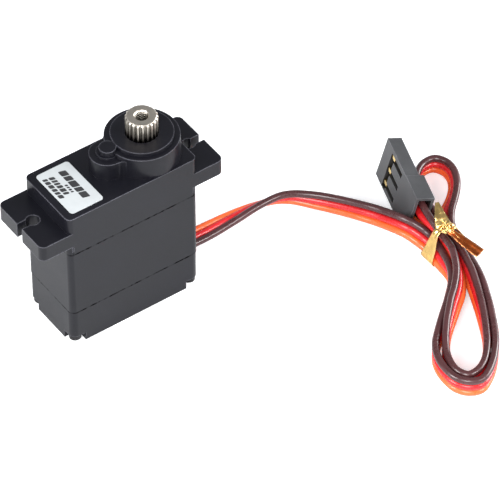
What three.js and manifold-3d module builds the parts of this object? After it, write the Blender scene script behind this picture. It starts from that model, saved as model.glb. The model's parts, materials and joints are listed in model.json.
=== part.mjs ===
// Micro metal-gear servo motor with its three-wire lead, bundled with a twist tie.
// Units are millimetres and +Z is up. The origin is the middle of the case's flat bottom face,
// +X points to the output shaft and the lead, and the case is W wide along Y.
import * as THREE from 'three';
import { mergeVertices } from 'three/addons/utils/BufferGeometryUtils.js';
import Module from 'manifold-3d';

const wasm = await Module();
wasm.setup();

// ---- driving dimensions -------------------------------------------------------------------
const L = 22.8;              // case length
const W = 11.6;              // case width
const CORNER = 0.9;          // vertical corner radius of the case
const BASE_CORNER = 1.1;     // vertical corner radius of the bottom case
const WALL = 0.8;
const FLOOR = 0.9;
const SEAM_LOW = 6.6;        // bottom case meets middle case
const SEAM_HIGH = 18.8;      // middle case meets upper case
const DECK = 1.0;            // plate between the motor and the gears
const CEILING = 25.1;
const CASE_TOP = 26.1;
const EAR_SPAN = 32.3;
const EAR_BOTTOM = 20.5;
const EAR_TOP = 23.2;
const EAR_CORNER = 1.0;
const EAR_HOLE_X = 13.8;     // centre of each mounting hole
const EAR_HOLE_R = 1.05;
const EAR_MOUTH = 1.3;       // width of the slot that opens the hole to the ear's tip
const TONGUE_X = 10.7;       // end walls of the middle case rise to the ears from here outward
const OUT_X = 5.6;           // output axis
const PIN_X = -0.3;          // idler pin axis
const PIN_Y = 0.3;
const MOTOR_X = -5.4;        // motor axis
const BOSS_R = 5.7;
const BOSS_DRAFT = 0.05;     // the boss narrows by this much each side of BOSS_R
const BOSS_TOP = 29.7;
const DISC_R = 4.74;         // raised disc round the output shaft
const DISC_TOP = 30.3;
const PIN_BOSS = { skirtR: 2.8, skirtTop: 29.1, ringR: 1.75, ringTop: 29.4, buttonR: 1.3, buttonTop: 30.2 };
const SPLINE_TOP = 33.5;
const SPLINE_TEETH = 21;
const SPLINE_R = 2.45;
const SPLINE_ROOT_R = 2.2;
const SCREW_X = 10.3;        // case screws, one in each corner
const SCREW_Y = 4.7;
const SCREW = { headR: 0.95, headBottom: 0.5, shankR: 0.55, holeR: 0.65, tip: 22.2, holeEnd: 22.4 };
const CROSS = { reach: 0.6, half: 0.12, depth: 0.35 };
const NOTCH = 2.3;           // corner notch that holds a screw's head
const NOTCH_HEIGHT = 1.45;
const POST_X = 9.3;          // corner posts start here
const POST_Y = 3.7;
const LABEL = { length: 5.7, width: 9.6, corner: 0.55, x: -7.3, y: -0.05, thickness: 0.1 };
const LEAD_SLOT = { half: 2.1, bottom: 2.2, top: 3.8 };
const WIRE_R = 0.575;
const WIRE_PITCH = 1.17;
const PLUG_PITCH = 2.54;

// ---- fits and facets ----------------------------------------------------------------------
const PRESSED = 0.03;        // radial clearance of a pressed fit
const FREE = 0.08;           // radial clearance of a running fit
const GAP = 0.05;            // clearance between faces that almost touch
const ROOT = 0.5;            // how far a feature sinks into the body it is joined to
const PAST = 1;              // how far a cutter runs past the face it opens
const TINY = 12;             // facets of a small rod
const SMALL = 16;
const MEDIUM = 24;
const LARGE = 32;
const FINE = 64;

// ---- finishes -----------------------------------------------------------------------------
function finish(color, roughness, metalness) {
  return new THREE.MeshStandardMaterial({ color, roughness, metalness });
}
const BLACK_PLASTIC = finish(0x26262b, 0.45, 0);
const PLUG_PLASTIC = finish(0x3c3c40, 0.5, 0);
const CREAM_PLASTIC = finish(0xd8cfb8, 0.5, 0);
const STEEL = finish(0xb9b6ae, 0.3, 1);
const DARK_STEEL = finish(0x4c4a48, 0.4, 1);
const BRASS = finish(0xc8a24a, 0.3, 1);
const COPPER = finish(0xb5683a, 0.35, 1);
const GOLD = finish(0xd9b45a, 0.3, 1);
const FERRITE = finish(0x3a3735, 0.8, 0);
const SILVER_LABEL = finish(0xe1e6e8, 0.4, 0.1);
const BOARD_GREEN = finish(0x1f5a34, 0.5, 0);
const CARBON = finish(0x1b1b1b, 0.7, 0);
const CHIP = finish(0x222224, 0.5, 0);
const CERAMIC = finish(0xa98a5c, 0.6, 0);
const RUBBER = finish(0x1e1e1e, 0.8, 0);
const BROWN_WIRE = finish(0x5a4141, 0.5, 0);
const RED_WIRE = finish(0xe12d37, 0.5, 0);
const ORANGE_WIRE = finish(0xf5783c, 0.5, 0);
const GOLD_FOIL = finish(0xc79a3c, 0.25, 1);

// ---- solids -------------------------------------------------------------------------------
function solid(geometry) {
  const bare = geometry.clone();
  bare.deleteAttribute('normal');
  bare.deleteAttribute('uv');
  const merged = mergeVertices(bare, 1e-5);
  const mesh = new wasm.Mesh({
    numProp: 3,
    vertProperties: new Float32Array(merged.attributes.position.array),
    triVerts: new Uint32Array(merged.index.array),
  });
  return new wasm.Manifold(mesh);
}

function geometryOf(body) {
  const mesh = body.getMesh();
  const geometry = new THREE.BufferGeometry();
  geometry.setAttribute('position', new THREE.BufferAttribute(mesh.vertProperties, 3));
  geometry.setIndex(new THREE.BufferAttribute(mesh.triVerts, 1));
  return geometry;
}

function prism(shape, bottom, top, curveSegments = 3) {
  const options = { depth: top - bottom, bevelEnabled: false, curveSegments };
  return solid(new THREE.ExtrudeGeometry(shape, options).translate(0, 0, bottom));
}

function box(x0, x1, y0, y1, z0, z1) {
  const geometry = new THREE.BoxGeometry(Math.abs(x1 - x0), Math.abs(y1 - y0), Math.abs(z1 - z0));
  return solid(geometry.translate((x0 + x1) / 2, (y0 + y1) / 2, (z0 + z1) / 2));
}

// A rod along Z, tapering if a radius for its top is given.
function rod(radius, bottom, top, segments = MEDIUM, topRadius = radius) {
  const geometry = new THREE.CylinderGeometry(topRadius, radius, top - bottom, segments);
  return solid(geometry.rotateX(Math.PI / 2).translate(0, 0, (bottom + top) / 2));
}

function tube(outer, inner, bottom, top, segments = LARGE) {
  return rod(outer, bottom, top, segments).subtract(rod(inner, bottom - PAST, top + PAST, segments));
}

function roundedRect(width, height, radius) {
  const x = width / 2 - radius;
  const y = height / 2 - radius;
  const shape = new THREE.Shape();
  [[x, y], [-x, y], [-x, -y], [x, -y]].forEach(([cx, cy], quarter) => {
    shape.absarc(cx, cy, radius, quarter * Math.PI / 2, (quarter + 1) * Math.PI / 2);
  });
  return shape;
}

function plate(width, height, radius, bottom, top) {
  return prism(roundedRect(width, height, radius), bottom, top);
}

function addAll(bodies) {
  return bodies.reduce((sum, body) => sum.add(body));
}

const at = (x, y, body) => body.translate([x, y, 0]);
const onOutput = (body) => at(OUT_X, 0, body);
const onPin = (body) => at(PIN_X, PIN_Y, body);
const onMotor = (body) => at(MOTOR_X, 0, body);
const CORNERS = [[1, 1], [-1, 1], [-1, -1], [1, -1]];
const ENDS = [-1, 1];
const WAYS = [-1, 0, 1];             // the three wires and their contacts

// ---- assembly -----------------------------------------------------------------------------
const servo = new THREE.Group();

function part(name, body, material, parent = servo) {
  const mesh = new THREE.Mesh(geometryOf(body), material);
  mesh.name = name;
  parent.add(mesh);
}

// ---- case ---------------------------------------------------------------------------------
// The room inside a shell: everything within the walls but the four corner posts.
function room(bottom, top) {
  const inside = plate(L - 2 * WALL, W - 2 * WALL, CORNER / 2, bottom, top);
  const posts = CORNERS.map(([sx, sy]) => box(
    sx * POST_X, sx * L, sy * POST_Y, sy * W, bottom - PAST, top + PAST));
  return inside.subtract(addAll(posts));
}

function screwHoles(bottom, top) {
  const holes = CORNERS.map(([sx, sy]) => at(
    sx * SCREW_X, sy * SCREW_Y, rod(SCREW.holeR, bottom, top, TINY)));
  return addAll(holes);
}

function bottomCase() {
  const shell = plate(L, W, BASE_CORNER, 0, SEAM_LOW).subtract(room(FLOOR, SEAM_LOW + PAST));
  const notches = CORNERS.map(([sx, sy]) => at(
    sx * L / 2, sy * W / 2, plate(2 * NOTCH, 2 * NOTCH, NOTCH / 4, -PAST, NOTCH_HEIGHT)));
  const leadSlot = box(L / 2 - 2 * WALL, L / 2 + PAST, -LEAD_SLOT.half, LEAD_SLOT.half,
    LEAD_SLOT.bottom, LEAD_SLOT.top);
  return shell.subtract(addAll(notches)).subtract(screwHoles(0, SEAM_LOW + PAST)).subtract(leadSlot);
}

const DECK_BOTTOM = SEAM_HIGH - DECK;
const MOTOR_COLLAR_R = 1.6;          // holes through the deck
const SHAFT_HOLE_R = 1.3;
const PIN_SOCKET_R = 0.66;
const PIN_SOCKET_DEPTH = 0.8;

function middleCase() {
  const shell = plate(L, W, CORNER, SEAM_LOW, SEAM_HIGH).subtract(room(SEAM_LOW - PAST, DECK_BOTTOM));
  const tongues = plate(L, W, CORNER, SEAM_HIGH - ROOT, EAR_BOTTOM - 2 * GAP)
    .subtract(box(-TONGUE_X, TONGUE_X, -W, W, 0, CASE_TOP));
  const deckHoles = addAll([
    onMotor(rod(MOTOR_COLLAR_R, DECK_BOTTOM - PAST, SEAM_HIGH + PAST)),
    onOutput(rod(SHAFT_HOLE_R, DECK_BOTTOM - PAST, SEAM_HIGH + PAST)),
    onPin(rod(PIN_SOCKET_R, SEAM_HIGH - PIN_SOCKET_DEPTH, SEAM_HIGH + PAST, SMALL)),
  ]);
  return shell.add(tongues).subtract(deckHoles).subtract(screwHoles(SEAM_LOW - PAST, CASE_TOP));
}

function earSlots() {
  const slots = ENDS.map((end) => at(
    end * EAR_HOLE_X, 0, rod(EAR_HOLE_R, EAR_BOTTOM - PAST, EAR_TOP + PAST, LARGE))
    .add(box(end * EAR_HOLE_X, end * EAR_SPAN, -EAR_MOUTH / 2, EAR_MOUTH / 2,
      EAR_BOTTOM - PAST, EAR_TOP + PAST)));
  return addAll(slots);
}

// Fills the two creases between the bosses with a round of this radius.
const BOSS_BLEND = 1.0;

function bossBlend(bottom, top) {
  const span = Math.hypot(OUT_X - PIN_X, PIN_Y);
  const fromBoss = BOSS_R + BOSS_BLEND;
  const fromPin = PIN_BOSS.skirtR + BOSS_BLEND;
  const turn = Math.acos((fromBoss ** 2 + span ** 2 - fromPin ** 2) / (2 * fromBoss * span));
  const towardPin = Math.atan2(PIN_Y, PIN_X - OUT_X);
  return addAll(WAYS.filter((way) => way).map((way) => {
    const x = OUT_X + fromBoss * Math.cos(towardPin + way * turn);
    const y = fromBoss * Math.sin(towardPin + way * turn);
    const corners = [[OUT_X, 0], [x, y], [PIN_X, PIN_Y]].map(([cx, cy]) => new THREE.Vector2(cx, cy));
    const web = prism(new THREE.Shape(way > 0 ? corners.reverse() : corners), bottom, top);
    return web.subtract(at(x, y, rod(BOSS_BLEND, bottom - PAST, top + PAST)));
  }));
}

const BEARING_SEAT = { r: 4.06, top: 28.9 };
const PIN_HOLE = { r: 0.62, top: 28.6 };

function upperCase() {
  const bossBase = CASE_TOP - ROOT;
  const outside = addAll([
    plate(L, W, CORNER, SEAM_HIGH, CASE_TOP),
    plate(EAR_SPAN, W, EAR_CORNER, EAR_BOTTOM, EAR_TOP),
    onOutput(rod(BOSS_R + BOSS_DRAFT, bossBase, BOSS_TOP, FINE, BOSS_R - BOSS_DRAFT)),
    onOutput(rod(DISC_R, BOSS_TOP - ROOT, DISC_TOP, FINE)),
    onPin(rod(PIN_BOSS.skirtR, bossBase, PIN_BOSS.skirtTop, LARGE)),
    bossBlend(bossBase, PIN_BOSS.skirtTop),
    onPin(rod(PIN_BOSS.ringR, PIN_BOSS.skirtTop - ROOT, PIN_BOSS.ringTop, LARGE)),
    onPin(rod(PIN_BOSS.buttonR, PIN_BOSS.ringTop - ROOT, PIN_BOSS.buttonTop, LARGE)),
  ]);
  const hollow = addAll([
    room(SEAM_HIGH - PAST, CEILING),
    onOutput(rod(BEARING_SEAT.r, CEILING - PAST, BEARING_SEAT.top, LARGE)),
    onOutput(rod(SPLINE_R + 2 * GAP, BEARING_SEAT.top - PAST, DISC_TOP + PAST, LARGE)),
    onPin(rod(PIN_HOLE.r, CEILING - PAST, PIN_HOLE.top, SMALL)),
    screwHoles(SEAM_HIGH - PAST, SCREW.holeEnd),
    earSlots(),
  ]);
  const endGaps = addAll(ENDS.map((end) => box(
    end * (L / 2 - WALL), end * L, -W, W, SEAM_HIGH - PAST, EAR_BOTTOM - GAP)));
  return outside.subtract(hollow).subtract(endGaps);
}

function caseScrew() {
  const head = rod(SCREW.headR, SCREW.headBottom, NOTCH_HEIGHT - GAP, SMALL);
  const shank = rod(SCREW.shankR, NOTCH_HEIGHT - ROOT, SCREW.tip, TINY);
  const crossTop = SCREW.headBottom + CROSS.depth;
  const cross = box(-CROSS.reach, CROSS.reach, -CROSS.half, CROSS.half, 0, crossTop)
    .add(box(-CROSS.half, CROSS.half, -CROSS.reach, CROSS.reach, 0, crossTop));
  return head.add(shank).subtract(cross);
}

function label() {
  const sheet = plate(LABEL.length, LABEL.width, LABEL.corner, CASE_TOP, CASE_TOP + LABEL.thickness);
  return at(LABEL.x, LABEL.y, sheet);
}

part('bottom_case', bottomCase(), BLACK_PLASTIC);
part('middle_case', middleCase(), BLACK_PLASTIC);
part('upper_case', upperCase(), BLACK_PLASTIC);
CORNERS.forEach(([sx, sy], i) => {
  part(`case_screw_${i + 1}`, at(sx * SCREW_X, sy * SCREW_Y, caseScrew()), DARK_STEEL);
});
part('label', label(), SILVER_LABEL);

// ---- gears --------------------------------------------------------------------------------
// Every wheel turns on the idler pin or on the output axis. Levels are along Z.
const PINION = { teeth: 9, bottom: 18.95, top: 20.2 };
const GEAR_1 = { large: { teeth: 42, bottom: 19.1, top: 19.9 }, small: { teeth: 10, top: 21.35 } };
const GEAR_2 = { large: { teeth: 37, bottom: 20.4, top: 21.2 }, small: { teeth: 13, top: 22.65 } };
const GEAR_3 = { large: { teeth: 34, bottom: 21.6, top: 22.4 }, small: { teeth: 9, top: 24.7 } };
const OUTPUT_GEAR = { teeth: 30, bottom: 22.8, top: 24.6 };
const DEDENDUM = 1.15;               // tooth heights, in modules
const ADDENDUM = 0.85;
const ROOT_HALF = 0.25;              // half a tooth's width, in tooth steps
const TIP_HALF = 0.1;
const PIN_R = 0.55;
const PIN_TOP = 28.5;
const MOTOR_SHAFT_R = 0.5;
const STEM_R = 0.95;                 // lower stem of the output shaft
const JOURNAL_R = 2.0;

// A toothed outline with straight flanks, one tooth centred on the phase angle. Each corner of a
// tooth is a radius and a place across it, in tooth steps.
function toothedShape(teeth, corners, phase) {
  const step = 2 * Math.PI / teeth;
  const points = [];
  for (let tooth = 0; tooth < teeth; tooth++) {
    for (const [radius, side] of corners) {
      const angle = phase + (tooth + side) * step;
      points.push(new THREE.Vector2(radius * Math.cos(angle), radius * Math.sin(angle)));
    }
  }
  return new THREE.Shape(points);
}

function gearDisc(teeth, module, phase, bottom, top) {
  const root = module * (teeth / 2 - DEDENDUM);
  const tip = module * (teeth / 2 + ADDENDUM);
  const corners = [[root, -ROOT_HALF], [tip, -TIP_HALF], [tip, TIP_HALF], [root, ROOT_HALF]];
  return prism(toothedShape(teeth, corners, phase), bottom, top);
}

// The phase that puts a gear's tooth gap on a tooth of its driver, at the line of centres. The
// driver has a tooth on +X, and the angle leads from it to the gear.
function meshedPhase(driverTeeth, angle, teeth) {
  const ahead = angle / (2 * Math.PI / driverTeeth);
  return angle + Math.PI - (0.5 - ahead) * 2 * Math.PI / teeth;
}

const MOTOR_TO_PIN = new THREE.Vector2(PIN_X - MOTOR_X, PIN_Y);
const PIN_TO_OUT = new THREE.Vector2(OUT_X - PIN_X, -PIN_Y);
const OUT_TO_PIN = PIN_TO_OUT.clone().negate();

// The module and phase of a wheel driven by a pinion, from the way between their axes.
function mesh(driverTeeth, way, teeth) {
  return {
    module: 2 * way.length() / (driverTeeth + teeth),
    phase: meshedPhase(driverTeeth, way.angle(), teeth),
  };
}

const MESH_1 = mesh(PINION.teeth, MOTOR_TO_PIN, GEAR_1.large.teeth);
const MESH_2 = mesh(GEAR_1.small.teeth, PIN_TO_OUT, GEAR_2.large.teeth);
const MESH_3 = mesh(GEAR_2.small.teeth, OUT_TO_PIN, GEAR_3.large.teeth);
const MESH_4 = mesh(GEAR_3.small.teeth, PIN_TO_OUT, OUTPUT_GEAR.teeth);

function compoundGear({ large, small }, driven, drives, bore) {
  return gearDisc(large.teeth, driven.module, driven.phase, large.bottom, large.top)
    .add(gearDisc(small.teeth, drives.module, 0, large.top - GAP, small.top))
    .subtract(rod(bore, 0, CASE_TOP));
}

function pinion() {
  return gearDisc(PINION.teeth, MESH_1.module, 0, PINION.bottom, PINION.top)
    .subtract(rod(MOTOR_SHAFT_R + PRESSED, 0, CASE_TOP, SMALL));
}

function outputGear() {
  return gearDisc(OUTPUT_GEAR.teeth, MESH_4.module, MESH_4.phase, OUTPUT_GEAR.bottom, OUTPUT_GEAR.top)
    .subtract(rod(JOURNAL_R + PRESSED, 0, CASE_TOP, LARGE));
}

part('idler_pin', onPin(rod(PIN_R, SEAM_HIGH - PIN_SOCKET_DEPTH + GAP, PIN_TOP, SMALL)), STEEL);
part('motor_pinion', onMotor(pinion()), BRASS);
part('gear_1', onPin(compoundGear(GEAR_1, MESH_1, MESH_2, PIN_R + FREE)), BRASS);
part('gear_2', onOutput(compoundGear(GEAR_2, MESH_2, MESH_3, STEM_R + FREE)), BRASS);
part('gear_3', onPin(compoundGear(GEAR_3, MESH_3, MESH_4, PIN_R + FREE)), BRASS);
part('output_gear', onOutput(outputGear()), BRASS);

// ---- output shaft and its bearing ---------------------------------------------------------
const SHAFT = { stemBottom: 14.4, journalBottom: 22.75, splineBottom: 29.9 };
const SPLINE_CHAMFER = 0.28;
const SPLINE_ROOT_HALF = 0.32;       // half a spline tooth's width, in tooth steps
const SPLINE_TIP_HALF = 0.13;
const HORN_SCREW = { r: 0.95, bottom: 27, sinkR: 1.15, sinkDepth: 0.2 };
const BEARING = { bottom: 26.5, top: 28.7, outerR: 4.0, outerBoreR: 3.42, innerR: 2.54 };
const BALLS = { count: 8, orbit: 2.98, r: 0.38, around: 6, down: 4 };
const CAGE = { halfWidth: 0.12, halfHeight: 0.2 };

function spline() {
  const corners = [
    [SPLINE_ROOT_R, -SPLINE_ROOT_HALF], [SPLINE_R, -SPLINE_TIP_HALF],
    [SPLINE_R, SPLINE_TIP_HALF], [SPLINE_ROOT_R, SPLINE_ROOT_HALF],
  ];
  const teeth = prism(toothedShape(SPLINE_TEETH, corners, 0), SHAFT.splineBottom, SPLINE_TOP);
  const shoulder = SPLINE_TOP - SPLINE_CHAMFER;
  const envelope = rod(SPLINE_R + GAP, SHAFT.splineBottom, shoulder, 2 * MEDIUM)
    .add(rod(SPLINE_R + GAP, shoulder, SPLINE_TOP, 2 * MEDIUM, SPLINE_R - SPLINE_CHAMFER));
  return teeth.intersect(envelope);
}

function outputShaft() {
  const screwHole = rod(HORN_SCREW.r, HORN_SCREW.bottom, SPLINE_TOP + PAST)
    .add(rod(HORN_SCREW.r, SPLINE_TOP - HORN_SCREW.sinkDepth, SPLINE_TOP, MEDIUM, HORN_SCREW.sinkR));
  const shaft = addAll([
    spline(),
    rod(JOURNAL_R, SHAFT.journalBottom, SHAFT.splineBottom + GAP, LARGE),
    rod(STEM_R, SHAFT.stemBottom, SHAFT.journalBottom + GAP),
  ]);
  return shaft.subtract(screwHole);
}

function bearingBalls() {
  const middle = (BEARING.bottom + BEARING.top) / 2;
  const cage = tube(BALLS.orbit + CAGE.halfWidth, BALLS.orbit - CAGE.halfWidth,
    middle - CAGE.halfHeight, middle + CAGE.halfHeight, MEDIUM);
  const balls = Array.from({ length: BALLS.count }, (_, i) => {
    const angle = i * 2 * Math.PI / BALLS.count;
    const ball = new THREE.SphereGeometry(BALLS.r, BALLS.around, BALLS.down);
    return solid(ball.translate(BALLS.orbit * Math.cos(angle), BALLS.orbit * Math.sin(angle), middle));
  });
  return addAll([cage, ...balls]);
}

function race(outer, inner) {
  return onOutput(tube(outer, inner, BEARING.bottom, BEARING.top));
}

part('output_shaft', onOutput(outputShaft()), STEEL);
part('bearing_outer_race', race(BEARING.outerR, BEARING.outerBoreR), STEEL);
part('bearing_inner_race', race(BEARING.innerR, JOURNAL_R + PRESSED), STEEL);
part('bearing_balls', onOutput(bearingBalls()), STEEL);

// ---- motor --------------------------------------------------------------------------------
const CAN = { r: 4.7, wall: 0.35, bottom: 8.0, top: 17.6, lid: 0.4, mouthR: 1.28 };
const END_CAP = { r: 4.28, boreR: 0.62, bottom: 7.4, top: 8.9 };
const BUSHING = { r: 1.25, bottom: 16.7, top: 18.4 };
const MOTOR_SHAFT = { bottom: 7.5, top: 20.3 };
const POLES = 3;
const CORE = { hubR: 1.0, bottom: 10.8, top: 15.6, shoeInner: 2.85, shoeOuter: 3.35, shoeHalf: 0.8 };
const LIMB = { start: 0.5, end: 3.1, half: 0.4 };
const COIL = { start: 1.3, end: 2.6, half: 0.95, bottom: 10.3, top: 16.1 };
const COMMUTATOR = { r: 0.8, bottom: 8.95, top: 10.2 };
const MAGNET = { inner: 3.55, outer: 4.28, half: 1.3, bottom: 10.2, top: 16.2 };
const BRUSH = { start: 0.86, end: 2.6, half: 0.35, bottom: 9.1, top: 9.8 };
const TERMINAL = { reach: 3, halfThickness: 0.15, half: 0.4, bottom: 5.45 };
const ARC_FACETS = 5;

function motorCan() {
  return rod(CAN.r, CAN.bottom, CAN.top, LARGE)
    .subtract(rod(CAN.r - CAN.wall, CAN.bottom - PAST, CAN.top - CAN.lid, LARGE))
    .subtract(rod(CAN.mouthR, CAN.bottom, CAN.top + PAST));
}

// A wall sector between two radii, from -half to +half radians, turned by an angle in degrees.
function sector({ inner, outer, half, bottom, top }, degrees) {
  const shape = new THREE.Shape();
  shape.absarc(0, 0, outer, -half, half, false);
  shape.absarc(0, 0, inner, half, -half, true);
  return prism(shape, bottom, top, ARC_FACETS).rotate([0, 0, degrees]);
}

function poleAngle(pole) {
  return pole * 360 / POLES;
}

function armatureCore() {
  const { hubR, bottom, top } = CORE;
  const shoe = { inner: CORE.shoeInner, outer: CORE.shoeOuter, half: CORE.shoeHalf, bottom, top };
  const pieces = [rod(hubR, bottom, top)];
  for (let pole = 0; pole < POLES; pole++) {
    const limb = box(LIMB.start, LIMB.end, -LIMB.half, LIMB.half, bottom, top);
    pieces.push(limb.rotate([0, 0, poleAngle(pole)]));
    pieces.push(sector(shoe, poleAngle(pole)));
  }
  return addAll(pieces).subtract(rod(MOTOR_SHAFT_R + PRESSED, 0, CASE_TOP, SMALL));
}

function coil(pole) {
  const { start, end, half, bottom, top } = COIL;
  const opening = box(start - PAST, end + PAST, -LIMB.half - GAP, LIMB.half + GAP,
    CORE.bottom - GAP, CORE.top + GAP);
  return box(start, end, -half, half, bottom, top).subtract(opening).rotate([0, 0, poleAngle(pole)]);
}

function brush(degrees) {
  const { start, end, half, bottom, top } = BRUSH;
  return box(start, end, -half, half, bottom, top).rotate([0, 0, degrees]);
}

function terminal(end) {
  const x = end * TERMINAL.reach;
  return box(x - TERMINAL.halfThickness, x + TERMINAL.halfThickness, -TERMINAL.half, TERMINAL.half,
    TERMINAL.bottom, END_CAP.bottom - GAP);
}

const { bottom: SHAFT_END, top: SHAFT_TIP } = MOTOR_SHAFT;
part('motor_can', onMotor(motorCan()), STEEL);
part('motor_end_cap', onMotor(tube(END_CAP.r, END_CAP.boreR, END_CAP.bottom, END_CAP.top)), CREAM_PLASTIC);
part('motor_bushing', onMotor(tube(BUSHING.r, MOTOR_SHAFT_R + FREE, BUSHING.bottom, BUSHING.top)), BRASS);
part('motor_shaft', onMotor(rod(MOTOR_SHAFT_R, SHAFT_END, SHAFT_TIP, SMALL)), STEEL);
part('armature_core', onMotor(armatureCore()), DARK_STEEL);
part('commutator', onMotor(tube(
  COMMUTATOR.r, MOTOR_SHAFT_R + PRESSED, COMMUTATOR.bottom, COMMUTATOR.top, SMALL)), COPPER);
for (let pole = 0; pole < POLES; pole++) {
  part(`armature_coil_${pole + 1}`, onMotor(coil(pole)), COPPER);
}
ENDS.forEach((end, i) => {
  const degrees = end > 0 ? 0 : 180;
  part(`magnet_${i + 1}`, onMotor(sector(MAGNET, degrees)), FERRITE);
  part(`brush_${i + 1}`, onMotor(brush(degrees)), COPPER);
  part(`motor_terminal_${i + 1}`, onMotor(terminal(end)), COPPER);
});

// ---- position sensor under the output shaft -----------------------------------------------
const POT = { r: 4.3, bottom: 12.4, top: 17.5, wall: 0.5, floor: 0.7, mouthR: 1.2 };
const TRACK = { outer: 3.6, inner: 2.2, top: 13.6 };
const WIPER = { hubR: 1.7, hubBottom: 14.5, hubTop: 16.2, reach: 3.4, half: 0.5, bottom: 14.1, top: 14.8 };
const POT_LEAD = { r: 0.25, x: 2, pitch: 1.8, facets: 8 };

function potBody() {
  return rod(POT.r, POT.bottom, POT.top, LARGE)
    .subtract(rod(POT.r - POT.wall, POT.bottom + POT.floor, POT.top - POT.wall, LARGE))
    .subtract(rod(POT.mouthR, POT.bottom + POT.floor, POT.top + PAST));
}

function potWiper() {
  return rod(WIPER.hubR, WIPER.hubBottom, WIPER.hubTop)
    .add(box(-WIPER.reach, 0, -WIPER.half, WIPER.half, WIPER.bottom, WIPER.top))
    .subtract(rod(STEM_R + PRESSED, 0, CASE_TOP));
}

function potLead(way) {
  const pin = rod(POT_LEAD.r, TERMINAL.bottom, POT.bottom - GAP, POT_LEAD.facets);
  return at(POT_LEAD.x, way * POT_LEAD.pitch, pin);
}

part('pot_body', onOutput(potBody()), BLACK_PLASTIC);
part('pot_track', onOutput(tube(
  TRACK.outer, TRACK.inner, POT.bottom + POT.floor + GAP / 2, TRACK.top)), CARBON);
part('pot_wiper', onOutput(potWiper()), BRASS);
WAYS.forEach((way, i) => part(`pot_lead_${i + 1}`, onOutput(potLead(way)), COPPER));

// ---- control board ------------------------------------------------------------------------
const BOARD = { halfLength: 8.8, halfWidth: 4.4, bottom: 4.6, top: 5.4 };

const COMPONENTS = {
  control_chip: { x: -5.6, y: 0, length: 4, width: 4, height: 1, material: CHIP },
  driver_chip: { x: -0.6, y: 0, length: 3.6, width: 3, height: 0.9, material: CHIP },
  capacitor: { x: 3.0, y: 2.4, length: 1.6, width: 1.6, height: 1.1, material: CERAMIC },
  resistor: { x: 3.0, y: -2.8, length: 1.6, width: 0.8, height: 0.6, material: CERAMIC },
};

function underBoard({ x, y, length, width, height }) {
  const top = BOARD.bottom - GAP / 2;
  return box(x - length / 2, x + length / 2, y - width / 2, y + width / 2, top - height, top);
}

part('control_board', box(-BOARD.halfLength, BOARD.halfLength, -BOARD.halfWidth, BOARD.halfWidth,
  BOARD.bottom, BOARD.top), BOARD_GREEN);
for (const [name, component] of Object.entries(COMPONENTS)) {
  part(name, underBoard(component), component.material);
}

// ---- lead ---------------------------------------------------------------------------------
// Waypoints of the ribbon's middle wire: x, y, z and the ribbon's roll in degrees. At roll 0 the
// ribbon stands on edge with the brown wire on top, and a positive roll leans brown to the right.
const SERVO_RUN = [
  [4.5, 0, 4, 90], [8, 0, 3.1, 90], [12, 0, 3, 90], [17, 0, 2.9, 88], [22, 0.2, 2.8, 70],
  [26.5, 0.3, 2.6, 48], [31, -0.6, 2.5, 24], [35, -3.9, 2.1, 0], [39.8, -10.8, 2.2, -15],
  [41.5, -15.7, 3, -20], [42, -17.4, 3.2, -20], [42.9, -19.2, 2.5, -30], [43.3, -21.2, 2.2, -25],
];
const OUTER_TURN = [
  [42.9, -23.8, 2, -25], [42.3, -27.5, 1.8, 0], [40.9, -30, 1.8, 10], [38.5, -32.5, 1.8, 15],
  [34, -36.2, 1.8, 10], [30.5, -39.5, 1.8, 0], [29.2, -43, 1.8, 0], [29.6, -46.8, 1.8, 0],
  [31.9, -48.5, 1.8, 0], [34.6, -47.4, 1.8, 0], [38.3, -43.9, 1.8, 0], [41.4, -39, 1.8, 0],
  [43.2, -35.3, 1.8, 5], [44.7, -31.3, 1.7, 20], [45.3, -28.6, 1.4, 45], [46, -25.5, 1.2, 70],
];
const FAR_TURN = [
  [47.1, -20.9, 1.1, 80], [48.2, -18.4, 1.1, 70], [49.7, -16.8, 1.3, 50], [51.5, -15.6, 1.6, 35],
  [54.1, -13.2, 1.7, 20], [55.4, -10.7, 1.8, 10], [55.4, -8.8, 1.8, 5], [54.6, -7.5, 1.8, 0],
  [53.4, -7.1, 1.8, -5], [51.3, -7.8, 1.8, -5], [48.8, -10.3, 2, -5], [47.3, -14.1, 2.4, -5],
  [46.7, -17.6, 3, -5], [46.1, -21.7, 3.3, 0],
];
const INNER_TURN = [
  [45.5, -24.8, 3.3, 0], [44.5, -28.2, 3, -10], [43.8, -30.5, 2.7, -15], [41.6, -35.8, 2.1, -10],
  [38.8, -41, 1.9, 0], [36.7, -43.9, 1.8, 0], [34.2, -46.1, 1.8, 0], [31.4, -46.8, 1.8, 0],
  [30.3, -44.9, 1.8, 0], [31, -41.7, 1.9, 0], [33.7, -38, 2.3, -5], [38.1, -34, 2.8, -25],
  [40.6, -31.9, 3.1, -30], [42.5, -29.4, 3.5, -20], [43.9, -26, 3.9, -10],
];
const PLUG_RUN = [
  [44.4, -23.7, 3.9, -15], [44.6, -21.7, 4.1, -15], [44.5, -17.6, 4.25, 12], [45.4, -14.2, 4.05, 13],
];
const ROUTE = [...SERVO_RUN, ...OUTER_TURN, ...FAR_TURN, ...INNER_TURN, ...PLUG_RUN];
const SPREAD = [1.7, PLUG_PITCH];     // between the wires at the plug's rear end, and inside it
const ROLLS = ROUTE.map((waypoint) => waypoint[3]);
const PITCHES = ROUTE.map((_, i) => SPREAD[i - ROUTE.length + SPREAD.length] ?? WIRE_PITCH);
const ROUTE_STEPS = 112;
const UP = new THREE.Vector3(0, 0, 1);
const middleWire = new THREE.CatmullRomCurve3(ROUTE.map(([x, y, z]) => new THREE.Vector3(x, y, z)));

function valueAlong(values, t) {
  const place = t * (values.length - 1);
  const index = Math.min(Math.floor(place), values.length - 2);
  return THREE.MathUtils.lerp(values[index], values[index + 1], place - index);
}

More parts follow.
